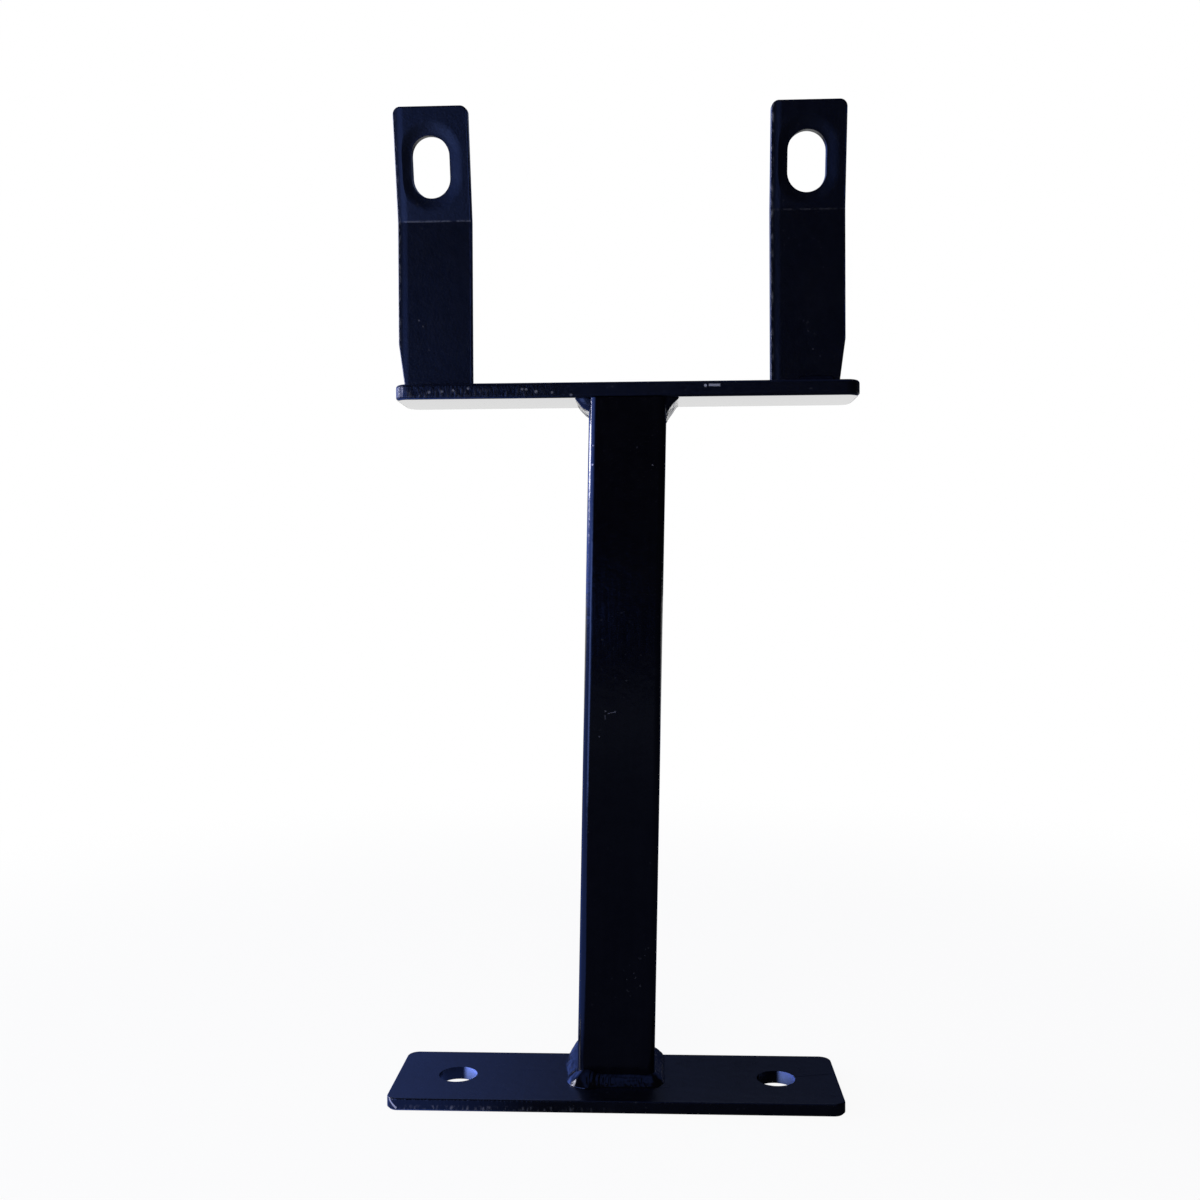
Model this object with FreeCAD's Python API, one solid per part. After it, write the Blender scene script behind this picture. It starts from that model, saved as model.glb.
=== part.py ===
"""Seat bracket: a welded post with a drilled foot plate and a two-armed cradle on top.

Millimetres, +Z up, +Y away from the viewer, who looks at the face that the post shows with its
foot plate standing out in front. The origin is the middle of the two foot holes, on the underside.
"""
import FreeCAD, Part
import math
import os

from FreeCAD import Vector

# Foot plate
base_length = 144.0
base_width = 40.0
base_thickness = 4.0
base_corner = 3.8
base_edge = 0.6
hole_spacing = 104.0
hole_diameter = 12.5

# Post, a square tube
tube_size = 25.0
tube_wall = 2.0
tube_corner = 2.5
post_height = 221.0
post_lean_deg = 1.27
post_back_land = 1.0

# Cross bar on top of the post
bar_length = 150.0
bar_shift = -0.66
bar_width = 25.0
bar_thickness = 5.0
bar_corner = 4.5
bar_edge = 1.0

# Arms, two alike blanks of flat bar, bent by hand
arm_width = 25.0
arm_thickness = 4.0
arm_length = 95.0
arm_shift = -2.2
arm_spread = 0.35
arm_corner = 2.5
arm_edge = 0.5
bend_inner_radius = 2.0
left_bend_height = 58.0
left_bend_deg = 13.0
right_bend_height = 60.5
right_bend_deg = 10.0
heel_inset = 2.3
heel_height = 17.0
slot_width = 13.0
slot_length = 20.0
slot_from_top = 19.6
slot_shift = -0.5

# Weld beads
ripple_pitch = 3.2
ripple_depth = 0.07
bead_root = 0.6
bead_end_scale = 0.55
foot_bead_leg = 3.5
foot_bead_rise = 3.3
foot_bead_crown = 0.3
foot_bead_margin = 0.3
foot_bead_end_scale = 0.85
side_spread = 0.35
side_spread_from_back = 10.0
side_spread_reach = 7.0
side_climb = 0.75
side_climb_reach = 12.0
corner_heap = 0.55
corner_heap_past = 1.0
corner_heap_reach = 3.0
left_head_leg = 5.2
left_head_rise = 4.6
left_head_crown = 0.5
right_head_leg = 4.6
right_head_rise = 6.6
right_head_crown = -0.3
head_bead_margin = 1.2
arm_bead_crown = 0.3
left_arm_bead_leg = 3.4
left_arm_bead_start = 0.12
left_arm_bead_end = 0.88
right_arm_bead_leg = 4.8
right_arm_bead_start = 0.34
right_arm_bead_end = 0.97

# Modelling limits
tube_inner_corner_least = 0.3
corner_share = 0.49
edge_share = 0.45
tiny = 1e-3

# Places that follow from the sizes above
base_top = base_thickness
bar_bottom = base_top + post_height
bar_top = bar_bottom + bar_thickness
post_y = base_width / 2 - post_back_land - tube_size / 2
lean_shift = post_height * math.tan(math.radians(post_lean_deg))
bar_x = lean_shift + bar_shift
arm_back_y = post_y + bar_width / 2
arm_front_y = arm_back_y - arm_thickness
slot_height = arm_length - slot_from_top


def rounded_outline(length, width, radius, z):
    """A closed rectangle with rounded corners, centred on the Z axis at height z."""
    a = length / 2
    b = width / 2
    r = min(radius, corner_share * min(length, width))
    k = r * (1 - math.sqrt(0.5))
    edges = []
    for sx, sy in ((1, 1), (-1, 1), (-1, -1), (1, -1)):
        on_end = Vector(sx * a, sy * (b - r), z)
        on_side = Vector(sx * (a - r), sy * b, z)
        middle = Vector(sx * (a - k), sy * (b - k), z)
        first, last = (on_end, on_side) if sx * sy > 0 else (on_side, on_end)
        edges.append(Part.Arc(first, middle, last).toShape())
    wire_edges = []
    for index, arc in enumerate(edges):
        following = edges[(index + 1) % len(edges)]
        wire_edges.append(arc)
        wire_edges.append(Part.makeLine(arc.lastVertex(True).Point, following.firstVertex(True).Point))
    return Part.Wire(Part.__sortEdges__(wire_edges))


def flat_plate(length, width, thickness, corner, edge, bevelled_under):
    """A flat strip standing on z = 0, with rounded corners and softened top and bottom edges."""
    outline = Part.Face(rounded_outline(length, width, corner, 0))
    plate = outline.extrude(Vector(0, 0, thickness))
    softened = min(edge, edge_share * thickness)
    upper = [item for item in plate.Edges if item.BoundBox.ZMin > thickness - tiny]
    lower = [item for item in plate.Edges if item.BoundBox.ZMax < tiny]
    if not bevelled_under:
        return plate.makeFillet(softened, upper + lower)
    plate = plate.makeFillet(softened, upper)
    lower = [item for item in plate.Edges if item.BoundBox.ZMax < tiny]
    return plate.makeChamfer(softened, lower)


def base_plate():
    """The foot: a flat strip with a bolt hole near each end, bevelled round its underside."""
    plate = flat_plate(base_length, base_width, base_thickness, base_corner, base_edge, True)
    for side in (-1, 1):
        centre = Vector(side * hole_spacing / 2, 0, -1)
        plate = plate.cut(Part.makeCylinder(hole_diameter / 2, base_thickness + 2, centre))
    return plate


def leaning_prism(size, corner):
    """A square bar of the post's own lean, cut level at the foot plate and at the cross bar."""
    spare = tube_size
    outline = rounded_outline(size, size, corner, -spare)
    bar = Part.Face(outline).extrude(Vector(0, 0, post_height + 2 * spare))
    bar.rotate(Vector(0, 0, 0), Vector(0, 1, 0), post_lean_deg)
    bar.translate(Vector(0, post_y, base_top))
    reach = 4 * tube_size + 2 * lean_shift
    level = Part.makeBox(2 * reach, 2 * reach, post_height, Vector(-reach, post_y - reach, base_top))
    return bar.common(level)


def post():
    """The square tube, open inside between the two plates that close it."""
    inner_corner = max(tube_corner - tube_wall, tube_inner_corner_least)
    outside = leaning_prism(tube_size, tube_corner)
    return outside.cut(leaning_prism(tube_size - 2 * tube_wall, inner_corner))


def cross_bar():
    """The flat bar across the top of the post, which carries the arms."""
    bar = flat_plate(bar_length, bar_width, bar_thickness, bar_corner, bar_edge, False)
    bar.translate(Vector(bar_x, post_y, bar_bottom))
    return bar


def arm_side_profile(bend_height, bend_deg):
    """The arm seen from its edge: upright, a tight bend, then leaning to the front."""
    bend = math.radians(bend_deg)
    outer_radius = bend_inner_radius + arm_thickness
    tangent = bend_inner_radius * math.tan(bend / 2)
    centre = Vector(0, -bend_inner_radius, bend_height - tangent)

    def on_bend(radius, angle):
        return centre + Vector(0, radius * math.cos(angle), radius * math.sin(angle))

    rise = arm_length - bend_height - tangent
    along = Vector(0, -math.sin(bend), math.cos(bend)) * rise
    foot_front = Vector(0, 0, 0)
    foot_back = Vector(0, arm_thickness, 0)
    inner_low = on_bend(bend_inner_radius, 0)
    inner_mid = on_bend(bend_inner_radius, bend / 2)
    inner_high = on_bend(bend_inner_radius, bend)
    outer_low = on_bend(outer_radius, 0)
    outer_mid = on_bend(outer_radius, bend / 2)
    outer_high = on_bend(outer_radius, bend)
    edges = [
        Part.makeLine(foot_front, inner_low),
        Part.Arc(inner_low, inner_mid, inner_high).toShape(),
        Part.makeLine(inner_high, inner_high + along),
        Part.makeLine(inner_high + along, outer_high + along),
        Part.makeLine(outer_high + along, outer_high),
        Part.Arc(outer_high, outer_mid, outer_low).toShape(),
        Part.makeLine(outer_low, foot_back),
        Part.makeLine(foot_back, foot_front),
    ]
    return Part.Wire(edges)


def on_upper_leg(shape, bend_height, bend_deg):
    """Lean a shape made for a straight arm to the front with the arm's upper leg."""
    tangent = bend_inner_radius * math.tan(math.radians(bend_deg) / 2)
    pivot = Vector(0, -bend_inner_radius, bend_height - tangent)
    shape = shape.copy()
    shape.translate(Vector(0, 0, -tangent))
    shape.rotate(pivot, Vector(1, 0, 0), bend_deg)
    return shape


def slot_cutter():
    """A round-ended slot through the arm's thickness, upright and just off the arm's middle line."""
    radius = slot_width / 2
    half = max(slot_length / 2 - radius, 0.5)
    spare = arm_thickness
    depth = arm_thickness + 2 * spare
    low = Vector(slot_shift, -spare, slot_height - half)
    box_corner = Vector(slot_shift - radius, -spare, slot_height - half)
    cutter = Part.makeBox(slot_width, depth, 2 * half, box_corner)
    for centre in (low, low + Vector(0, 0, 2 * half)):
        cutter = cutter.fuse(Part.makeCylinder(radius, depth, centre, Vector(0, 1, 0)))
    return cutter


def heel_cutter(side):
    """The wedge ground off the outer edge of an arm's foot."""
    outer = side * arm_width / 2
    spare = arm_thickness
    points = [
        Vector(outer - side * heel_inset, -spare, 0),
        Vector(outer, -spare, heel_height),
        Vector(outer + side * spare, -spare, heel_height),
        Vector(outer + side * spare, -spare, -spare),
        Vector(outer - side * heel_inset, -spare, -spare),
    ]
    outline = Part.Face(Part.makePolygon(points + [points[0]]))
    return outline.extrude(Vector(0, arm_thickness + 2 * spare, 0))


def arm_middle(side):
    """The middle line of an arm: flush with the end of the cross bar, but for spread and shift."""
    return bar_x + arm_shift + side * ((bar_length - arm_width) / 2 + arm_spread)


def arm(side, bend_height, bend_deg):
    """One arm: side is -1 for the left and 1 for the right."""
    profile = Part.Face(arm_side_profile(bend_height, bend_deg))
    profile.translate(Vector(-arm_width / 2, 0, 0))
    body = profile.extrude(Vector(arm_width, 0, 0))
    body = body.cut(heel_cutter(side))
    top = max(vertex.Z for vertex in body.Vertexes)
    corners = []
    for item in body.Edges:
        through = item.BoundBox.XLength < tiny and abs(item.Length - arm_thickness) < tiny
        if through and item.BoundBox.ZMin > top - 2 * arm_thickness:
            corners.append(item)
    body = body.makeFillet(arm_corner, corners)
    rims = []
    for item in body.Edges:
        across = item.BoundBox.XLength > arm_width / 2 and item.BoundBox.ZMax < top - 2 * arm_thickness
        through = abs(item.Length - arm_thickness) < tiny
        at_foot = item.BoundBox.ZMax < tiny
        if not (across or through or at_foot or item.Length < tiny):
            rims.append(item)
    body = body.makeFillet(arm_edge, rims)
    body = body.cut(on_upper_leg(slot_cutter(), bend_height, bend_deg))
    body.translate(Vector(arm_middle(side), arm_front_y, bar_top))
    return body


def bead_section(root, out, up, leg, rise, crown):
    """One slice of a weld bead in the corner at root, with its toes on the two faces that it joins."""
    toe = root + out * leg
    top = root + up * rise
    middle = (toe + top) * 0.5 + (out + up) * (crown / math.sqrt(2))
    inside = root - out * bead_root - up * bead_root
    under_toe = toe - up * bead_root
    behind_top = top - out * bead_root
    return Part.Wire([
        Part.makeLine(inside, under_toe),
        Part.makeLine(under_toe, toe),
        Part.Arc(toe, middle, top).toShape(),
        Part.makeLine(top, behind_top),
        Part.makeLine(behind_top, inside),
    ])


def rippled_bead(stations, up, leg, rise, crown, end_scale, swell):
    """A bead through stations of (root, outward direction, travel). Swell gives, for a travel, the
    shares by which the bead spreads over its flat face and climbs up its upright one."""
    sections = []
    last = len(stations) - 1
    for index, (root, out, travel) in enumerate(stations):
        ripple = 1 + ripple_depth * (1 if index % 2 else -1)
        ends = end_scale if index in (0, last) else 1.0
        size = ripple * ends
        spread, climb = swell(travel)
        wide = leg * size * (1 + spread)
        high = rise * size * (1 + climb)
        sections.append(bead_section(root, out, up, wide, high, crown * size * (1 + spread)))
    return Part.makeLoft(sections, True, True)


def even(travel):
    """The swell of a bead that is alike all along."""
    return 0.0, 0.0


def straight_stations(start, finish, out):
    """Evenly spaced bead stations from start to finish, half a ripple apart."""
    run = finish - start
    count = max(4, round(2 * run.Length / ripple_pitch))
    stations = []
    for index in range(count + 1):
        share = index / count
        stations.append((start + run * share, out, run.Length * share))
    return stations


def round_post_stations():
    """Bead stations down the post's left side, across its front and back up its right side."""
    half = tube_size / 2
    corner = min(tube_corner, corner_share * tube_size)
    side_run = tube_size - corner - foot_bead_margin
    front_run = tube_size - 2 * corner
    turn_run = corner * math.pi / 2
    total = 2 * side_run + front_run + 2 * turn_run
    count = round(2 * total / ripple_pitch)
    stations = []
    for index in range(count + 1):
        travel = total * index / count
        stations.append(post_station(travel, half, corner, side_run, front_run, turn_run))
    return stations


def post_station(travel, half, corner, side_run, front_run, turn_run):
    """The root point and outward direction at a length of travel round the post's foot."""
    centre = Vector(0, post_y, base_top)
    left_turn = travel - side_run
    right_turn = left_turn - turn_run - front_run
    if left_turn < 0:
        return centre + Vector(-half, -half + corner - left_turn, 0), Vector(-1, 0, 0), travel
    if left_turn < turn_run:
        out = Vector(-math.cos(left_turn / corner), -math.sin(left_turn / corner), 0)
        return centre + Vector(-half + corner, -half + corner, 0) + out * corner, out, travel
    if right_turn < 0:
        return centre + Vector(half - corner + right_turn, -half, 0), Vector(0, -1, 0), travel
    if right_turn < turn_run:
        out = Vector(math.sin(right_turn / corner), -math.cos(right_turn / corner), 0)
        return centre + Vector(half - corner, -half + corner, 0) + out * corner, out, travel
    return centre + Vector(half, -half + corner + right_turn - turn_run, 0), Vector(1, 0, 0), travel


def trimmed(bead, *neighbours):
    """A bead with what lies inside its neighbours taken away, so that it seats on their faces."""
    for neighbour in neighbours:
        bead = bead.cut(neighbour)
    solid = max(bead.Solids, key=lambda item: item.Volume)
    return solid.removeSplitter()


def foot_weld(plate, full_post):
    """The fillet round three sides of the post's foot, wide and high on its left, heaped past that corner."""
    corner_end = tube_size - foot_bead_margin + tube_corner * (math.pi / 2 - 1)
    corner_place = corner_end + corner_heap_past

    def heap(travel):
        corner = corner_heap * math.exp(-((travel - corner_place) / corner_heap_reach) ** 2)
        spread = side_spread * math.exp(-((travel - side_spread_from_back) / side_spread_reach) ** 2)
        climb = side_climb * math.exp(-(travel / side_climb_reach) ** 2)
        return corner + spread, corner + climb

    bead = rippled_bead(round_post_stations(), Vector(0, 0, 1), foot_bead_leg, foot_bead_rise,
                        foot_bead_crown, foot_bead_end_scale, heap)
    return trimmed(bead, full_post, plate)


def head_weld(side, leg, rise, crown, bar, full_post):
    """The fillet under the cross bar along one side of the post."""
    half_run = min(tube_size, bar_width) / 2 - head_bead_margin
    x = lean_shift + side * tube_size / (2 * math.cos(math.radians(post_lean_deg)))
    start = Vector(x, post_y - half_run, bar_bottom)
    finish = Vector(x, post_y + half_run, bar_bottom)
    stations = straight_stations(start, finish, Vector(side, 0, 0))
    bead = rippled_bead(stations, Vector(0, 0, -1), leg, rise, crown, bead_end_scale, even)
    return trimmed(bead, full_post, bar)


def arm_weld(side, leg, share_from, share_to, bar, own_arm):
    """The fillet on the cross bar in front of one arm's foot; shares run from inside to outside."""
    inner_x = arm_middle(side) - side * arm_width / 2
    start = Vector(inner_x + side * arm_width * share_from, arm_front_y, bar_top)
    finish = Vector(inner_x + side * arm_width * share_to - side * heel_inset, arm_front_y, bar_top)
    stations = straight_stations(start, finish, Vector(0, -1, 0))
    bead = rippled_bead(stations, Vector(0, 0, 1), leg, leg, arm_bead_crown, bead_end_scale, even)
    return trimmed(bead, own_arm, bar)


def save(name, shape):
    """Write one piece to its own STEP file and print what it is."""
    shape.exportStep(os.path.join("parts", name + ".step"))
    state = "valid" if shape.isValid() else "NOT VALID"
    print(name, len(shape.Solids), "solid", round(shape.Volume, 1), "mm3", state)


os.makedirs("parts", exist_ok=True)
plate = base_plate()
full_post = leaning_prism(tube_size, tube_corner)
bar = cross_bar()
left_arm = arm(-1, left_bend_height, left_bend_deg)
right_arm = arm(1, right_bend_height, right_bend_deg)
save("base_plate", plate)
save("post", post())
save("cross_bar", bar)
save("left_arm", left_arm)
save("right_arm", right_arm)
save("foot_weld", foot_weld(plate, full_post))
save("left_head_weld", head_weld(-1, left_head_leg, left_head_rise, left_head_crown, bar, full_post))
save("right_head_weld", head_weld(1, right_head_leg, right_head_rise, right_head_crown, bar, full_post))
save("left_arm_weld",
     arm_weld(-1, left_arm_bead_leg, left_arm_bead_start, left_arm_bead_end, bar, left_arm))
save("right_arm_weld",
     arm_weld(1, right_arm_bead_leg, right_arm_bead_start, right_arm_bead_end, bar, right_arm))
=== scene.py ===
"""Seat bracket, dressed: coated flat bar and square tube, rippled welds, a pale studio.

Metres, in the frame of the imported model: +X right, +Y away from the viewer, +Z up.
"""
import math

import bpy
from mathutils import Matrix, Vector


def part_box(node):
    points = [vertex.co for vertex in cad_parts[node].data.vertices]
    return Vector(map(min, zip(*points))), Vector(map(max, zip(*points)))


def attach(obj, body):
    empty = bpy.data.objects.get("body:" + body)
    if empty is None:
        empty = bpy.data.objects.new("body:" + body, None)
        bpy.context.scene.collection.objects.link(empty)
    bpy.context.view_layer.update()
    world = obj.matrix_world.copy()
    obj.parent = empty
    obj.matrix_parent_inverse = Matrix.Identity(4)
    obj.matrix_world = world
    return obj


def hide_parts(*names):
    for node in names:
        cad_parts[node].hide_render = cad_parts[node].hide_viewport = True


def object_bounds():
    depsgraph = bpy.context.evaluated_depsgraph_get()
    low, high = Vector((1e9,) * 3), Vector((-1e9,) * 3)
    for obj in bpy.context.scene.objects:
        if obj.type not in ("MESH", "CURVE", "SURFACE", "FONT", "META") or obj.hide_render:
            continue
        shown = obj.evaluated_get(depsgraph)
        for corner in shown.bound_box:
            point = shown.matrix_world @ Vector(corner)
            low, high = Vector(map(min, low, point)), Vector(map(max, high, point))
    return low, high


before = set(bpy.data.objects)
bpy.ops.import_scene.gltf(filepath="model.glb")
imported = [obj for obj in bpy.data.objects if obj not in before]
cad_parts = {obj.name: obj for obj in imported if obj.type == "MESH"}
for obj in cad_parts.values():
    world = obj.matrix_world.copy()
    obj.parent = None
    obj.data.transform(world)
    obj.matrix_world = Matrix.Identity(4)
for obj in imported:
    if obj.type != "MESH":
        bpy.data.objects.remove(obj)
cad_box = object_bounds()

mm = 0.001

# Camera, fitted to the edges of the photographed bracket
camera_place = Vector((14.02, -407.75, 164.65)) * mm
camera_turn_deg = 2.609
camera_tip_deg = -0.669
camera_roll_deg = -0.261
camera_lens = 37.566
camera_sensor = 36.0
image_size = 1200

# Sizes that the frame's boxes don't give
arm_thickness = 4 * mm
tube_corner = 2.5 * mm
tube_wall = 2 * mm
hole_spacing = 104 * mm
hole_radius = 6.25 * mm
slot_width = 13 * mm
slot_length = 20 * mm
slot_shift = -0.5 * mm
slot_drop = 19.2 * mm
toe_sink = 0.06 * mm


class Value:
    """A number on a node's output. A sum with it adds the Math node that works it out."""

    def __init__(self, tree, socket):
        self.tree = tree
        self.socket = socket

    def math(self, operation, *others):
        sockets = dict(enumerate((self,) + others))
        return self.tree.node("ShaderNodeMath", {"operation": operation}, sockets).value()

    def __add__(self, other):
        return self.math("ADD", other)

    def __radd__(self, other):
        return self.math("ADD", other)

    def __sub__(self, other):
        return self.math("SUBTRACT", other)

    def __rsub__(self, other):
        return (self * -1).math("ADD", other)

    def __mul__(self, other):
        return self.math("MULTIPLY", other)

    def __rmul__(self, other):
        return self.math("MULTIPLY", other)

    def __truediv__(self, other):
        return self.math("DIVIDE", other)

    def __pow__(self, other):
        return self.math("POWER", other)

    def __abs__(self):
        return self.math("ABSOLUTE")

    def least(self, other):
        return self.math("MINIMUM", other)

    def most(self, other):
        return self.math("MAXIMUM", other)

    def sine(self):
        return self.math("SINE")

    def above(self, limit):
        return self.math("GREATER_THAN", limit)

    def ramp(self, low, high):
        """0 at low and 1 at high, eased at both ends; low may be the larger."""
        settings = {"interpolation_type": "SMOOTHSTEP"}
        sockets = {"Value": self, "From Min": low, "From Max": high}
        return self.tree.node("ShaderNodeMapRange", settings, sockets).value("Result")


class Node:
    """A node in a tree, whose outputs are taken by name."""

    def __init__(self, tree, node):
        self.tree = tree
        self.node = node

    def value(self, name=0):
        return Value(self.tree, self.node.outputs[name])

    def parts(self):
        """The three numbers of this node's first output."""
        return self.tree.parts(self.value())


class Tree:
    """A node tree, of a material, a world or a geometry group."""

    def __init__(self, node_tree):
        self.tree = node_tree

    def node(self, kind, settings, sockets):
        made = self.tree.nodes.new(kind)
        for name, setting in settings.items():
            setattr(made, name, setting)
        for name, given in sockets.items():
            if isinstance(given, Value):
                self.tree.links.new(given.socket, made.inputs[name])
            else:
                made.inputs[name].default_value = given
        return Node(self, made)

    def parts(self, vector):
        """The X, Y and Z of a vector."""
        split = self.node("ShaderNodeSeparateXYZ", {}, {0: vector})
        return [split.value(axis) for axis in "XYZ"]

    def vector(self, x, y, z):
        return self.node("ShaderNodeCombineXYZ", {}, {"X": x, "Y": y, "Z": z}).value()

    def vector_math(self, operation, *vectors):
        node = self.node("ShaderNodeVectorMath", {"operation": operation}, dict(enumerate(vectors)))
        gives_number = operation in ("DISTANCE", "LENGTH", "DOT_PRODUCT")
        return node.value("Value" if gives_number else 0)

    def scaled(self, vector, factor):
        sockets = {0: vector, "Scale": factor}
        return self.node("ShaderNodeVectorMath", {"operation": "SCALE"}, sockets).value()

    def stretched(self, vector, scale):
        """A place whose patterns are drawn out along X, Y and Z by scale."""
        sockets = {"Vector": vector, "Scale": scale}
        return self.node("ShaderNodeMapping", {"vector_type": "TEXTURE"}, sockets).value()

    def mixed(self, share, first, second):
        """A colour between two colours; share 0 gives the first."""
        node = self.node("ShaderNodeMix", {"data_type": "RGBA"}, {"Factor": share})
        for name, given in (("A_Color", first), ("B_Color", second)):
            socket = next(item for item in node.node.inputs if item.identifier == name)
            if isinstance(given, Value):
                self.tree.links.new(given.socket, socket)
            else:
                socket.default_value = given
        result = next(item for item in node.node.outputs if item.identifier == "Result_Color")
        return Value(self, result)

    def noise(self, place, size, detail=2.0, seed=0.0):
        """A noise from about 0 to 1 whose grains are size across."""
        sockets = {"Vector": place, "W": seed, "Scale": 1 / size, "Detail": detail}
        return self.node("ShaderNodeTexNoise", {"noise_dimensions": "4D"}, sockets).value("Fac")


def linear(red, green, blue):
    """A screen colour, 0 to 255, as the linear colour that a shader takes."""
    parts = []
    for part in (red, green, blue):
        share = part / 255
        parts.append(share / 12.92 if share <= 0.04045 else ((share + 0.055) / 1.055) ** 2.4)
    return (*parts, 1.0)


# Colours of the coating: its two tones, pale specks and wear, dark scratches and a painted blue highlight
# on the foot holes' walls
coat_deep = linear(2, 2, 5)
coat_light = linear(6, 6, 10)
# Pale specks and wear, also the colour of painted glints and highlights
coat_fleck_and_glint = linear(168, 165, 172)
coat_dark = linear(2, 2, 4)
painted_window_light = linear(140, 160, 225)

# Colours of the light
white = (1.0, 1.0, 1.0, 1.0)
window_blue = (0.15, 0.27, 1.0, 1.0)


def camera_matrix():
    """Where the camera stands and looks."""
    turn = Matrix.Rotation(math.radians(camera_turn_deg), 4, "Z")
    tip = Matrix.Rotation(math.radians(90 + camera_tip_deg), 4, "X")
    roll = Matrix.Rotation(math.radians(camera_roll_deg), 4, "Z")
    return Matrix.Translation(camera_place) @ turn @ tip @ roll


def ray_to(pixel_x, pixel_y):
    """The direction from the camera through a point of the image."""
    reach = camera_lens / camera_sensor * image_size
    across = (pixel_x - image_size / 2) / reach
    down = (pixel_y - image_size / 2) / reach
    return camera_matrix().to_3x3() @ Vector((across, -down, -1))


def seen_at(pixel_x, pixel_y, depth_y):
    """The point of the plane y = depth_y that shows at a point of the image."""
    direction = ray_to(pixel_x, pixel_y)
    return camera_place + direction * ((depth_y - camera_place.y) / direction.y)


def seen_on(pixel_x, pixel_y, height_z):
    """The point of the level plane z = height_z that shows at a point of the image."""
    direction = ray_to(pixel_x, pixel_y)
    return camera_place + direction * ((height_z - camera_place.z) / direction.z)


def seen_piece(node, pixel_x, pixel_y):
    """The point of a node's surface that shows at a point of the image."""
    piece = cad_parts[node]
    back = piece.matrix_world.inverted()
    direction = (back.to_3x3() @ ray_to(pixel_x, pixel_y)).normalized()
    return piece.matrix_world @ piece.ray_cast(back @ camera_place, direction)[1]


def new_tree(name):
    """An empty material and its tree."""
    material = bpy.data.materials.new(name)
    material.use_nodes = True
    material.node_tree.nodes.clear()
    return material, Tree(material.node_tree)


def close_to(tree, place, spot, radius):
    """1 at a spot, falling to 0 at radius from it."""
    return tree.vector_math("DISTANCE", place, tuple(spot)).ramp(radius, radius * 0.45)


def along_line(tree, place, start, finish, half_width):
    """1 on a straight stretch from start to finish, falling to 0 at half_width from it."""
    run = finish - start
    facing = run.to_track_quat("X", "Z").to_euler()
    node = tree.node("ShaderNodeMapping", {"vector_type": "TEXTURE"},
                     {"Vector": place, "Location": tuple((start + finish) / 2), "Rotation": tuple(facing)})
    lengthwise, beside, above = node.parts()
    aside = tree.vector_math("LENGTH", tree.vector(0.0, beside, above))
    beyond = abs(lengthwise) - run.length / 2
    return aside.most(beyond).ramp(half_width, half_width * 0.3)


def strongest(masks, tree, place):
    """The highest of one or more masks at each place."""
    result = None
    for mask in masks:
        drawn = mask(tree, place)
        result = drawn if result is None else result.most(drawn)
    return result


def coat(name, grain, torn=(), painted_glints=(), marks=(), scores=(), glossy=(), dished=(), sheen=(),
         peel=1.0, lumps=0.0, roughness=0.4):
    """The dark coating. grain is how far its texture is drawn out along X, Y and Z. Next come lists of
    masks: torn for sheared faces, worn for painted highlights that glint on them, marks for pale marks,
    which are specks and also painted highlights, scores for dark scratches, glossy for faces where the
    coat ran smooth, dished for hollows and sheen for a painted blue highlight on walls that face the
    window. peel and lumps raise its fine and broad bumps. Heights are millimetres."""
    dust_strength = 0.04
    material, tree = new_tree(name)
    place = tree.node("ShaderNodeTexCoord", {}, {}).value("Object")
    broad = tree.noise(place, 14 * mm, 3.0, 1.0)
    cloudy = tree.noise(place, 3.2 * mm, 3.0, 2.0)
    rolled = tree.noise(tree.stretched(place, grain), 1.6 * mm, 3.0, 3.0)
    pimpled = tree.noise(place, 0.75 * mm, 1.5, 4.0)
    sandy = tree.noise(place, 0.22 * mm, 2.0, 5.0)
    clean = tree.noise(place, 12 * mm, 2.0, 7.0).ramp(0.5, 0.66)
    dust = tree.noise(place, 0.9 * mm, 0.0, 6.0).ramp(0.765, 0.80) * clean

    tone = (broad * 0.45 + cloudy * 0.35 + rolled * 0.3).ramp(0.34, 0.8)
    colour = tree.mixed(tone, coat_deep, coat_light)
    height = rolled * 0.030 + pimpled * (0.022 * peel) + sandy * 0.006 + cloudy * (0.05 + lumps)
    shine = roughness + cloudy * 0.10 + sandy * 0.08 - broad * 0.06 - 0.06
    if torn:
        tear = tree.noise(tree.stretched(place, (1.0, 1.0, 2.6)), 0.9 * mm, 3.0, 8.0)
        sheared = strongest(torn, tree, place)
        height = height + tear * sheared * 0.26
        shine = shine - sheared * 0.06
        # Painted highlight: pale glints on sheared faces, where light would catch their torn edges
        if painted_glints:
            glint = tear.ramp(0.46, 0.72) * strongest(painted_glints, tree, place)
            colour = tree.mixed(glint * 0.8, colour, coat_fleck_and_glint)
    pale = dust * dust_strength
    if marks:
        pale = pale.most(strongest(marks, tree, place))
    colour = tree.mixed(pale, colour, coat_fleck_and_glint)
    shine = shine + pale * 0.2
    # Painted highlight: walls that face the window are painted pale blue
    if sheen:
        colour = tree.mixed(strongest(sheen, tree, place), colour, painted_window_light)
    if scores:
        scored = strongest(scores, tree, place)
        colour = tree.mixed(scored, colour, coat_dark)
        height = height - scored * 0.15
    if dished:
        height = height - strongest(dished, tree, place) * 0.55
    smooth = 0.0
    if glossy:
        smooth = strongest(glossy, tree, place)
        shine = shine * (1 - smooth * 0.8)
        height = height * (1 - smooth * 0.8)
    bump = tree.node("ShaderNodeBump", {}, {"Strength": 1.0, "Distance": mm, "Height": height})
    surface = tree.node("ShaderNodeBsdfPrincipled", {}, {
        "Base Color": colour,
        "Roughness": shine,
        "Normal": bump.value(),
        "IOR": 1.5,
        "Specular IOR Level": 0.5,
        "Coat Weight": smooth,
        "Coat Roughness": 0.06,
        "Coat IOR": 1.9,
    }).value()
    tree.node("ShaderNodeOutputMaterial", {}, {"Surface": surface})
    return material


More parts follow.
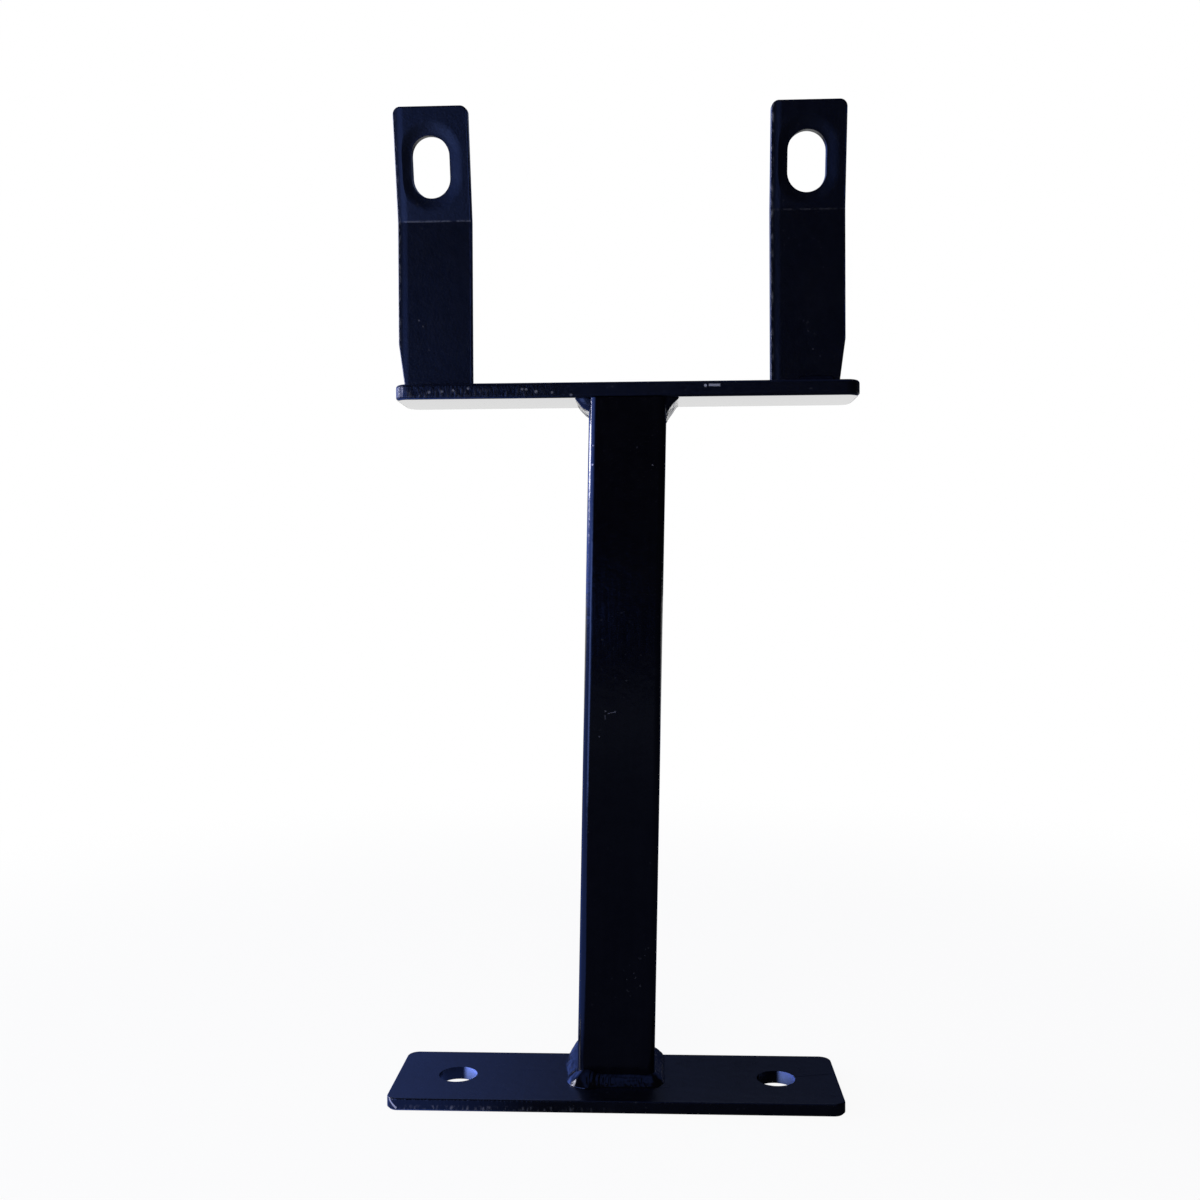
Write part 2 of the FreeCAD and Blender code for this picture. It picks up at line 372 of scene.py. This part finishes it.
def outer_faces(node, axis, depth):
    """A mask for the faces at both ends of a node's box along one axis."""
    low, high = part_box(node)

    def mask(tree, place):
        along = tree.parts(place)[axis]
        middle = (low[axis] + high[axis]) / 2
        half = (high[axis] - low[axis]) / 2
        return abs(along - middle).ramp(half - depth, half - depth * 0.4)

    return mask


def sides_of(node, depth, rough_x, smooth_x, least):
    """A mask for a plate's four narrow sides, which fades along X from rough_x to least at smooth_x."""
    ends = outer_faces(node, 0, depth)
    long_sides = outer_faces(node, 1, depth)

    def mask(tree, place):
        fading = tree.parts(place)[0].ramp(smooth_x, rough_x) * (1 - least) + least
        return ends(tree, place).most(long_sides(tree, place)) * fading

    return mask


def front_face(node, depth, low_share, high_share, solid_x, gone_x, strength):
    """A mask for a band of a plate's front face, which fades along X from solid_x to gone_x. The band
    runs between two shares of the plate's height."""
    low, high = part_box(node)
    soft = 0.12

    def mask(tree, place):
        x, y, z = tree.parts(place)
        height = (z - low.z) / (high.z - low.z)
        over = height.ramp(low_share - soft, low_share + soft)
        under = height.ramp(high_share + soft, high_share - soft)
        on_face = (y - low.y).ramp(depth, depth * 0.4)
        return on_face * over * under * x.ramp(gone_x, solid_x) * strength

    return mask


def left_edge(node, depth, strength):
    """A mask for the left edge of an arm, which faces the light: it carries a painted highlight and a
    shallow hollow.
    """
    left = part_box(node)[0].x
    return lambda tree, place: (tree.parts(place)[0] - left).ramp(depth, depth * 0.3) * strength


def under_face(node, depth):
    """A mask for the underside of a node's box."""
    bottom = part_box(node)[0].z
    return lambda tree, place: (tree.parts(place)[2] - bottom).ramp(depth, depth * 0.3)


def behind(front):
    """A mask for what lies more than a millimetre or two behind a front end."""
    return lambda tree, place: tree.parts(place)[1].ramp(front + 0.8 * mm, front + 2.2 * mm)


def spot_mark(spot, radius, strength=1.0):
    """A pale round speck."""
    return lambda tree, place: close_to(tree, place, spot, radius) * strength


def specks_on(depth_y, rows):
    """Specks on the plane y = depth_y: pixel x, pixel y, radius in millimetres and strength of each."""
    return [spot_mark(seen_at(pixel_x, pixel_y, depth_y), radius * mm, strength)
            for pixel_x, pixel_y, radius, strength in rows]


def painted_bend_highlight(height, strength):
    """A broken pale line along a bend: a painted highlight where the bend's ridge catches the light."""
    def mask(tree, place):
        line = abs(tree.parts(place)[2] - height).ramp(0.42 * mm, 0.1 * mm)
        return line * tree.noise(place, 1.3 * mm, 2.0, 17.0).ramp(0.35, 0.6) * strength

    return mask


def line_mark(start, finish, half_width, strength=1.0):
    """A straight scratch."""
    return lambda tree, place: along_line(tree, place, start, finish, half_width) * strength


def dished_rim(node):
    """A mask for the hollow that an arm's punched slot draws into the face round it."""
    low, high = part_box(node)
    slot_x = (low.x + high.x) / 2 + slot_shift
    slot_z = high.z - slot_drop
    radius = slot_width / 2

    def mask(tree, place):
        x, _, z = tree.parts(place)
        beyond = (abs(z - slot_z) - (slot_length - slot_width) / 2).most(0.0)
        reach = tree.vector_math("LENGTH", tree.vector(x - slot_x, 0.0, beyond))
        return reach.ramp(radius + 4.5 * mm, radius - 0.5 * mm)

    return mask


def painted_hole_light(x_middle, strength):
    """A mask for the far right part of a foot hole's wall, where it faces the window; its blue is a
    painted highlight.
    """
    def mask(tree, place):
        x, y, _ = tree.parts(place)
        away = tree.vector_math("LENGTH", tree.vector(x - x_middle, y, 0.0))
        on_wall = away.ramp(hole_radius + 0.12 * mm, hole_radius + 0.04 * mm)
        return on_wall * (x - x_middle + y * 0.8).ramp(5.6 * mm, 7.2 * mm) * strength

    return mask


def paint(node_name, material):
    """Give a node of the frame its material."""
    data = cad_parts[node_name].data
    data.materials.clear()
    data.materials.append(material)


def corner_ring(half, radius, steps):
    """The outline of a rounded square as (point, normal) pairs, each corner in this many steps."""
    ring = []
    for quarter in range(4):
        middle = math.pi / 4 + quarter * math.pi / 2
        sign_x = math.copysign(1, math.cos(middle))
        sign_y = math.copysign(1, math.sin(middle))
        for index in range(steps + 1):
            turn = (quarter + index / steps) * math.pi / 2
            normal = Vector((math.cos(turn), math.sin(turn), 0))
            point = Vector((sign_x * (half - radius), sign_y * (half - radius), 0)) + normal * radius
            ring.append((point, normal))
    return ring


def dress_tube(material):
    """The square tube, rounder at its corners than the frame's, leaning from the foot plate to the bar."""
    low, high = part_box("post")
    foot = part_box("base_plate")[1].z
    side = high.y - low.y
    lean = (high.x - side / 2) - (low.x + side / 2)
    middle = Vector((low.x + side / 2, (low.y + high.y) / 2, foot))
    corner_steps = 14
    outer = corner_ring(side / 2, tube_corner, corner_steps)
    inner = corner_ring(side / 2 - tube_wall, tube_corner - tube_wall, corner_steps)
    count = len(outer)
    lift = Vector((lean, 0, high.z - foot))
    points = []
    for ring, rise in ((outer, 0), (outer, 1), (inner, 0), (inner, 1)):
        points += [middle + point + lift * rise for point, normal in ring]
    faces = []
    normals = []
    up = Vector((0, 0, 1))
    for index in range(count):
        after = (index + 1) % count
        here = outer[index][1]
        there = outer[after][1]
        faces.append((index, after, count + after, count + index))
        normals += [here, there, there, here]
        faces.append((2 * count + after, 2 * count + index, 3 * count + index, 3 * count + after))
        normals += [-inner[after][1], -inner[index][1], -inner[index][1], -inner[after][1]]
        faces.append((after, index, 2 * count + index, 2 * count + after))
        normals += [-up] * 4
        faces.append((count + index, count + after, 3 * count + after, 3 * count + index))
        normals += [up] * 4
    mesh = bpy.data.meshes.new("post_tube")
    mesh.from_pydata(points, [], faces)
    mesh.shade_smooth()
    mesh.normals_split_custom_set([tuple(normal) for normal in normals])
    mesh.materials.append(material)
    tube = bpy.data.objects.new("post_tube", mesh)
    bpy.context.scene.collection.objects.link(tube)
    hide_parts("post")
    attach(tube, "root")


def finish_foot_plate():
    """The foot plate's material: a scratch on top, a painted highlight along the front-left corner,
    painted glints low on the front face and painted blue light on the hole walls.
    """
    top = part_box("base_plate")[1].z
    score = line_mark(seen_on(793, 1077, top), seen_on(832, 1074, top), 0.3 * mm)
    # Painted highlight: a pale line along the rounded front-left corner, where it catches the light
    pale_line = line_mark(
        seen_piece("base_plate", 389.5, 1099.5), seen_piece("base_plate", 395.5, 1107.5), 0.45 * mm)
    paint("base_plate", coat(
        "coated foot plate", (14.0, 1.0, 1.0), marks=[pale_line], scores=[score], roughness=0.3,
        sheen=[painted_hole_light(-hole_spacing / 2, 1.0), painted_hole_light(hole_spacing / 2, 0.65)],
        torn=[sides_of("base_plate", 0.5 * mm, -50 * mm, -10 * mm, 0.25)],
        # Painted highlight: pale glints low on the front face, fading towards the right, away from the
        # light
        painted_glints=[front_face("base_plate", 0.9 * mm, 0.0, 0.45, -45 * mm, 5 * mm, 0.3)]))


def finish_cross_bar():
    """The cross bar's material: specks and a short pale dash in front, painted glints on the front face
    and at the right arm's foot, a smooth underside.
    """
    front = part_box("cross_bar")[0].y
    pale_line = line_mark(seen_at(710, 385, front), seen_at(719, 384.8, front), 0.55 * mm, 0.5)
    specks = specks_on(front, (
        (705.5, 385.3, 0.6, 0.6), (429, 392.3, 0.6, 0.2), (442, 391.6, 0.5, 0.2), (453, 390.4, 0.5, 0.2),
        (468, 388.5, 0.55, 0.2), (522, 389.1, 0.5, 0.2), (526, 389.3, 0.55, 0.2), (536, 391.6, 0.65, 0.2),
        (552, 392.3, 0.5, 0.2), (571, 395.0, 0.6, 0.2)))
    # Painted highlight: a glint at the right arm's foot on top of the bar
    painted_foot_glint = specks_on(front + 2 * mm, ((807, 381.4, 0.6, 0.5),))
    paint("cross_bar", coat(
        "coated cross bar", (14.0, 1.0, 1.0), marks=[pale_line] + specks + painted_foot_glint,
        torn=[sides_of("cross_bar", 0.5 * mm, -30 * mm, -12 * mm, 0.15)],
        # Painted highlight: pale glints on the front face's left part
        painted_glints=[front_face("cross_bar", 0.5 * mm, 0.1, 0.6, -66 * mm, -12 * mm, 0.1)],
        glossy=[under_face("cross_bar", 0.5 * mm)]))


def finish_tube():
    """The tube's material, with a faint scratch at half height, and the tube that wears it."""
    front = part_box("post")[0].y
    marks = specks_on(front, (
        (615.0, 711.9, 0.35, 0.17), (605.3, 711.3, 0.4, 0.12), (599.2, 736.6, 0.3, 0.12),
        (652.5, 465.0, 0.35, 0.12)))
    marks += [
        line_mark(seen_at(608, 713.6, front), seen_at(615.3, 711.8, front), 0.22 * mm, 0.13),
        line_mark(seen_at(605, 715.5, front), seen_at(605.2, 719, front), 0.3 * mm, 0.07),
        spot_mark(seen_piece("post", 593.0, 445.6), 0.35 * mm, 0.5),
        spot_mark(seen_piece("post", 592.4, 464.7), 0.45 * mm),
    ]
    dress_tube(coat("coated tube", (1.0, 1.0, 18.0), marks=marks, peel=0.35, roughness=0.11))


def finish_arms():
    """The arms' materials: a painted highlight along each bend, rolled slot rims and, at the left edge, a
    painted highlight and a shallow hollow.
    """
    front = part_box("left_arm")[1].y - arm_thickness
    specks = specks_on(front, (
        (419, 320.5, 0.4, 0.12), (423, 326.5, 0.35, 0.09), (429, 350, 0.35, 0.05),
        (813, 349, 0.35, 0.08), (820, 356, 0.3, 0.06)))
    # Painted highlight on each arm's bend, stronger on the left arm, which faces the light
    for node, pixel_x, pixel_y, strength in (
            ("left_arm", 432, 221.5, 0.12), ("right_arm", 808, 209.0, 0.03)):
        bend_z = seen_at(pixel_x, pixel_y, front).z
        paint(node, coat(
            "coated " + node.replace("_", " "), (1.0, 1.0, 2.5), torn=[outer_faces(node, 0, 0.5 * mm)],
            # Painted highlight: pale glints along the left edge, which faces the light
            painted_glints=[left_edge(node, 1.2 * mm, 0.25)],
            dished=[dished_rim(node), left_edge(node, 3.6 * mm, 0.45)],
            marks=specks + [painted_bend_highlight(bend_z, strength)], peel=2.0, roughness=0.36))


def geometry_tree(name, numbers, vectors):
    """A geometry group with a curve in, a mesh out and named inputs; gives it, its tree and inputs."""
    group = bpy.data.node_groups.new(name, "GeometryNodeTree")
    face = group.interface
    face.new_socket("Geometry", in_out="OUTPUT", socket_type="NodeSocketGeometry")
    face.new_socket("Path", in_out="INPUT", socket_type="NodeSocketGeometry")
    for item in numbers:
        face.new_socket(item, in_out="INPUT", socket_type="NodeSocketFloat")
    for item in vectors:
        face.new_socket(item, in_out="INPUT", socket_type="NodeSocketVector")
    face.new_socket("Material", in_out="INPUT", socket_type="NodeSocketMaterial")
    tree = Tree(group)
    given = tree.node("NodeGroupInput", {}, {})
    return group, tree, given


def weld_tree():
    """A fillet bead along a path: crescent ripples, a wandering toe, rounded ends and humps.

    A flat grid is rolled up: its first 15 rows run over the bead's face from one toe to the other, the
    next lies buried in the joint, and the last meets the first again and is merged with it."""
    along = 420
    face_rows = 15
    rows = face_rows + 2
    numbers = ("Leg", "Rise", "Crown", "Root", "Pitch", "Depth", "Wander", "End", "Heap", "Heap Place",
               "Heap Reach", "Swell", "Swell Place", "Swell Reach", "Climb", "Climb Place",
               "Climb Reach", "Streak", "Lump", "Seed")
    group, tree, given = geometry_tree("weld bead", numbers, ("Up",))
    grid = tree.node("GeometryNodeMeshGrid", {}, {
        "Size X": 1.0, "Size Y": 1.0, "Vertices X": along, "Vertices Y": rows})
    across, row_share, _ = tree.node("GeometryNodeInputPosition", {}, {}).parts()
    travel_share = across + 0.5
    row = (row_share + 0.5) * (rows - 1)
    length = tree.node("GeometryNodeCurveLength", {}, {0: given.value("Path")}).value()
    travel = travel_share * length
    sample = tree.node("GeometryNodeSampleCurve", {"mode": "FACTOR", "use_all_curves": True}, {
        "Curves": given.value("Path"), "Factor": travel_share})
    root = sample.value("Position")
    up = given.value("Up")
    crossed = tree.vector_math("CROSS_PRODUCT", sample.value("Tangent"), up)
    out = tree.vector_math("NORMALIZE", crossed)

    not_last = 1 - row.above(rows - 1.5)
    share = (row / (face_rows - 1)).least(1.0) * not_last
    buried = row.above(face_rows - 0.5) * not_last
    bulge = share * (1 - share) * 4

    seed = given.value("Seed")
    level = tree.vector(travel, share * given.value("Leg"), 0.0)
    slow = tree.noise(level, 5.5 * mm, 2.0, seed)
    quick = tree.noise(level, 1.1 * mm, 2.0, seed + 7)

    nearness = travel.least(length - travel) / given.value("End")
    cut = 1 - nearness.least(1.0)
    rounding = (1 - cut * cut * 0.985) ** 0.5

    def hump(kind):
        """1 at the named place along the bead, dying away over its reach."""
        away = (travel - given.value(kind + " Place")) / given.value(kind + " Reach")
        return (away * away * -1).math("EXPONENT") * given.value(kind)

    heap = hump("Heap")
    wander = (slow - 0.5) * given.value("Wander")
    swell = rounding * (1 + heap + hump("Swell") + wander)
    climb = rounding * (1 + heap + hump("Climb") + wander)

    lengthwise = tree.vector(travel, 0.0, 0.0)
    drawn_out = tree.vector(travel * 0.1, share * given.value("Leg"), 0.0)
    streaks = tree.noise(drawn_out, 0.8 * mm, 2.0, seed + 5)
    patchy = tree.noise(lengthwise, 7 * mm, 1.0, seed + 9).ramp(0.35, 0.65) + 0.25
    jitter = tree.noise(lengthwise, 2.4 * mm, 1.0, seed + 3)
    lag = bulge * given.value("Pitch") * 0.55
    phase = (travel + lag) / given.value("Pitch") + jitter * 1.1
    ripple = abs((phase * math.pi).sine()) - 0.62
    depth = given.value("Depth")
    lumps = tree.noise(level, 2.3 * mm, 1.0, seed + 13) - 0.45
    rough = (quick - 0.5) * depth * 1.1 + (streaks - 0.5) * given.value("Streak")
    piled = heap * lumps * given.value("Lump")
    skin = (ripple * depth * patchy + rough + piled) * bulge * rounding

    leg = given.value("Leg") * swell * (1 - share)
    rise = given.value("Rise") * climb * share
    proud = (given.value("Crown") * bulge * swell + skin) * math.sqrt(0.5)
    sunk = given.value("Root") * buried * rounding
    step_out = leg * (1 - buried) + proud * (1 - buried) - sunk - toe_sink * share
    step_up = rise * (1 - buried) + proud * (1 - buried) - sunk - toe_sink * (1 - share)
    moved = tree.vector_math("ADD", root, tree.scaled(out, step_out))
    moved = tree.vector_math("ADD", moved, tree.scaled(up, step_up))
    shaped = tree.node("GeometryNodeSetPosition", {}, {
        "Geometry": grid.value("Mesh"), "Position": moved})
    joined = tree.node("GeometryNodeMergeByDistance", {}, {
        "Geometry": shaped.value(), "Distance": 0.004 * mm})
    smooth = tree.node("GeometryNodeSetShadeSmooth", {}, {"Geometry": joined.value()})
    real = tree.node("GeometryNodeRealizeInstances", {}, {"Geometry": smooth.value()})
    dressed = tree.node("GeometryNodeSetMaterial", {}, {
        "Geometry": real.value(), "Material": given.value("Material")})
    tree.node("NodeGroupOutput", {}, {"Geometry": dressed.value()})
    return group


def path_object(points):
    """A curve object through these points, in straight stretches."""
    data = bpy.data.curves.new("path", "CURVE")
    data.dimensions = "3D"
    spline = data.splines.new("POLY")
    spline.points.add(len(points) - 1)
    for item, point in zip(spline.points, points):
        item.co = (*point, 1.0)
    holder = bpy.data.objects.new("path", data)
    bpy.context.scene.collection.objects.link(holder)
    return holder


def grown(name, group, points, inputs):
    """The plain mesh that a geometry group makes along a path."""
    holder = path_object(points)
    modifier = holder.modifiers.new(name, "NODES")
    modifier.node_group = group
    for item in group.interface.items_tree:
        if item.in_out == "INPUT" and item.name in inputs:
            modifier[item.identifier] = inputs[item.name]
    graph = bpy.context.evaluated_depsgraph_get()
    mesh = bpy.data.meshes.new_from_object(holder.evaluated_get(graph), depsgraph=graph)
    curve = holder.data
    holder.modifiers.remove(modifier)
    bpy.data.objects.remove(holder)
    bpy.data.curves.remove(curve)
    mesh.name = name
    piece = bpy.data.objects.new(name, mesh)
    bpy.context.scene.collection.objects.link(piece)
    outward(mesh)
    return piece


def outward(mesh):
    """Turn a closed mesh's faces outwards, if its volume comes out negative."""
    volume = 0.0
    for polygon in mesh.polygons:
        corners = [mesh.vertices[index].co for index in polygon.vertices]
        for second, third in zip(corners[1:], corners[2:]):
            volume += corners[0].dot(second.cross(third))
    if volume < 0:
        mesh.flip_normals()


def weld_defaults():
    """What all beads share."""
    return {
        "Root": 0.5 * mm, "Pitch": 1.5 * mm, "Depth": 0.16 * mm, "Wander": 0.22, "End": 1.8 * mm,
        "Heap": 0.0, "Heap Place": 0.0, "Heap Reach": 4 * mm, "Swell": 0.0, "Swell Place": 0.0,
        "Swell Reach": 8 * mm, "Climb": 0.0, "Climb Place": 0.0, "Climb Reach": 8 * mm,
        "Streak": 0.25 * mm, "Lump": 0.0,
    }


def dress_weld(node_name, group, points, up, inputs, glossy=(), roughness=0.22):
    """Make one bead, and let it stand for its node."""
    material = coat("coated " + node_name.replace("_", " "), (1.0, 1.0, 1.0), glossy=glossy,
                    peel=1.4, lumps=0.08, roughness=roughness)
    sizes = {**weld_defaults(), **inputs, "Up": up, "Material": material}
    bead = grown(node_name + "_bead", group, points, sizes)
    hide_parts(node_name)
    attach(bead, "root")


def foot_path():
    """Round three sides of the tube's foot: down its left side, across its front, up its right side."""
    low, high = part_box("post")
    plate_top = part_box("base_plate")[1].z
    half = (high.y - low.y) / 2
    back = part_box("foot_weld")[1].y
    inner = half - tube_corner
    steps = 10
    points = [Vector((-half, back, plate_top))]
    for side in (-1, 1):
        for index in range(steps + 1):
            turn = math.pi / 2 * index / steps
            if side > 0:
                turn = math.pi / 2 - turn
            x = side * (inner + tube_corner * math.cos(turn))
            y = low.y + tube_corner - tube_corner * math.sin(turn)
            points.append(Vector((x, y, plate_top)))
    points.append(Vector((half, back, plate_top)))
    return points


def dress_welds():
    """All five beads, each sized by the box of the solid that it stands for."""
    group = weld_tree()
    up = Vector((0, 0, 1))
    down = Vector((0, 0, -1))

    path = foot_path()
    side_run = path[0].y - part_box("post")[0].y
    dress_weld("foot_weld", group, path, up, {
        "Leg": 3.4 * mm, "Rise": 3.2 * mm, "Crown": 0.35 * mm, "Depth": 0.22 * mm, "Streak": 0.5 * mm,
        "End": 0.8 * mm, "Heap": 0.5, "Heap Place": side_run + 2.4 * mm, "Heap Reach": 3.0 * mm,
        "Swell": 0.45, "Swell Place": 8 * mm, "Swell Reach": 7 * mm, "Climb": 1.0, "Climb Reach": 12 * mm,
        "Lump": 2.2 * mm, "Seed": 11.0}, roughness=0.12)

    low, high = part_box("left_head_weld")
    path = [Vector((high.x, low.y, high.z)), Vector((high.x, high.y, high.z))]
    dress_weld("left_head_weld", group, path, down, {
        "Leg": 5.1 * mm, "Rise": 4.5 * mm, "Crown": 0.5 * mm, "Seed": 23.0}, glossy=[behind(low.y)])

    low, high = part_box("right_head_weld")
    path = [Vector((low.x, high.y, high.z)), Vector((low.x, low.y, high.z))]
    dress_weld("right_head_weld", group, path, down, {
        "Leg": 4.5 * mm, "Rise": 6.4 * mm, "Crown": -0.3 * mm, "Depth": 0.22 * mm, "Wander": 0.3,
        "Seed": 37.0}, glossy=[behind(low.y)])

    for side, leg, seed in (("left", 3.3 * mm, 41.0), ("right", 4.6 * mm, 53.0)):
        low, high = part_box(side + "_arm_weld")
        path = [Vector((low.x, high.y, low.z)), Vector((high.x, high.y, low.z))]
        dress_weld(side + "_arm_weld", group, path, up, {
            "Leg": leg, "Rise": leg, "Crown": 0.3 * mm, "Seed": seed})


def make_floor():
    """A pale floor, white to the camera but for a part near the bracket that keeps its shadow."""
    shadow_share = 0.07
    shadow_near = 0.2
    shadow_far = 0.6
    reach = 12.0
    unseen_tone = (0.05, 0.055, 0.07, 1.0)
    seen_tone = (1.0, 0.9, 0.72, 1.0)
    material, tree = new_tree("pale floor")
    path = tree.node("ShaderNodeLightPath", {}, {})
    place = tree.node("ShaderNodeTexCoord", {}, {}).value("Object")
    distance = tree.vector_math("LENGTH", place)
    x, y, _ = tree.parts(place)

    # What the coat mirrors: a white band at the back, and blue patches near and far on the left
    to_back = y.ramp(0.6, 1.1)
    near_left = x.ramp(-0.02, -0.07) * (y - x * 1.2).ramp(-0.15, -0.05) * (y + x).ramp(0.03, -0.02)
    front_left = x.ramp(-0.25, -0.6) * y.ramp(-0.4, -0.8)
    to_left = near_left.most(front_left)

    seen = path.value("Is Camera Ray").most(path.value("Is Transmission Ray"))
    glowing = seen * (1 - distance.ramp(shadow_far, shadow_near) * shadow_share)
    glowing = glowing.most(path.value("Is Glossy Ray") * to_back.most(to_left))
    tone = tree.mixed(seen, unseen_tone, seen_tone)
    plain = tree.node("ShaderNodeBsdfDiffuse", {}, {"Color": tone}).value()
    shade = tree.mixed(path.value("Is Glossy Ray") * (1 - to_back), white, window_blue)
    glow = tree.node("ShaderNodeEmission", {}, {"Color": shade, "Strength": 1.0}).value()
    surface = tree.node("ShaderNodeMixShader", {}, {0: glowing, 1: plain, 2: glow}).value()
    tree.node("ShaderNodeOutputMaterial", {}, {"Surface": surface})

    mesh = bpy.data.meshes.new("floor")
    turns = ((-1, -1), (1, -1), (1, 1), (-1, 1))
    corners = [(reach * side_x, reach * side_y, cad_box[0][2]) for side_x, side_y in turns]
    mesh.from_pydata(corners, [], [(0, 1, 2, 3)])
    mesh.materials.append(material)
    floor = bpy.data.objects.new("floor", mesh)
    bpy.context.scene.collection.objects.link(floor)


def make_world():
    """White to the camera. The bracket sees a dim room with a broad blue window on its left, which has
    a bright pane and a bright slit, weaker windows behind it and a skylight."""
    window_strength = 3.8
    back_left_strength = 1.0
    back_right_strength = 0.12
    skylight_strength = 0.35
    pane_strength = 16.0
    slit_strength = 28.0
    room_strength = 0.012
    room_tint = (0.85, 0.85, 1.0, 1.0)
    world = bpy.data.worlds.new("studio")
    world.use_nodes = True
    world.node_tree.nodes.clear()
    tree = Tree(world.node_tree)
    toward = tree.node("ShaderNodeTexCoord", {}, {}).value()

    def around(compared, direction, inner_deg, outer_deg):
        """1 within inner_deg of a direction, falling to 0 at outer_deg."""
        nearness = tree.vector_math("DOT_PRODUCT", compared, Vector(direction).normalized())
        return nearness.ramp(math.cos(math.radians(outer_deg)), math.cos(math.radians(inner_deg)))

    toward_x, toward_y, toward_z = tree.parts(toward)
    level = tree.vector_math("NORMALIZE", tree.vector(toward_x, toward_y, 0.0))
    window = around(level, (-1.0, -0.10, 0.0), 20, 74) * toward_z.ramp(0.40, 0.12)
    slit = around(level, (-1.0, 0.09, 0.0), 12, 17)
    slit = slit * toward_z.ramp(0.074, 0.080) * toward_z.ramp(0.150, 0.145)
    pane = around(toward, (-0.92, 0.07, 0.40), 4, 7)
    back_left = around(toward, (-0.66, 0.66, 0.40), 10, 44) * toward_z.ramp(0.08, 0.28)
    back_right = around(toward, (0.50, 0.80, 0.40), 8, 30)
    skylight = around(toward, (0.0, -0.25, 1.0), 10, 36)
    tinted = window * window_strength + back_left * back_left_strength
    tinted = tinted + back_right * back_right_strength + skylight * skylight_strength
    glow = tinted + pane * pane_strength + slit * slit_strength + room_strength
    seen = tree.node("ShaderNodeLightPath", {}, {}).value("Is Camera Ray")
    strength = seen + (1 - seen) * glow
    tint = tree.mixed(tinted / glow, room_tint, window_blue)
    colour = tree.mixed(seen, tint, white)
    surface = tree.node("ShaderNodeBackground", {}, {"Color": colour, "Strength": strength}).value()
    tree.node("ShaderNodeOutputWorld", {}, {"Surface": surface})
    bpy.context.scene.world = world


def soft_lamp(name, place, width, height, watts, colour, aim, mirrored=True):
    """A square lamp that faces a point of the bracket, and shows in its sheen if it is mirrored."""
    data = bpy.data.lights.new(name, "AREA")
    data.shape = "RECTANGLE"
    data.size = width
    data.size_y = height
    data.energy = watts
    data.color = colour
    lamp = bpy.data.objects.new(name, data)
    lamp.location = place
    lamp.rotation_euler = (Vector(aim) - Vector(place)).to_track_quat("-Z", "Y").to_euler()
    lamp.visible_glossy = mirrored
    bpy.context.scene.collection.objects.link(lamp)


def make_lamps():
    """Large soft lamps on the left and in front, which stay out of the bracket's sheen, a weak one
    behind and above, and a small blue one close by on the left, for the left arm."""
    cool = (0.5, 0.62, 1.0)
    daylight = (0.9, 0.95, 1.0)
    blue = (0.25, 0.38, 1.0)
    middle = (0, 0, 0.16)
    arm = (-0.06, 0, 0.3)
    soft_lamp("key", (-1.1, 0.25, 0.55), 0.9, 1.1, 7, cool, middle, False)
    soft_lamp("front", (-0.3, -1.5, 0.75), 1.4, 1.0, 20, daylight, middle, False)
    soft_lamp("back", (-0.25, 1.1, 1.0), 1.2, 0.6, 0.8, cool, middle)
    soft_lamp("fill", (-0.30, -0.42, 0.11), 0.2, 0.2, 0.38, blue, arm)


def make_camera():
    """The camera at the photograph's place."""
    data = bpy.data.cameras.new("camera")
    data.lens = camera_lens
    data.sensor_width = camera_sensor
    data.clip_start = 0.01
    camera = bpy.data.objects.new("camera", data)
    camera.matrix_world = camera_matrix()
    bpy.context.scene.collection.objects.link(camera)
    bpy.context.scene.camera = camera


finish_foot_plate()
finish_cross_bar()
finish_tube()
finish_arms()
dress_welds()
make_floor()
make_world()
make_lamps()
make_camera()
bpy.context.scene.view_settings.view_transform = "Standard"
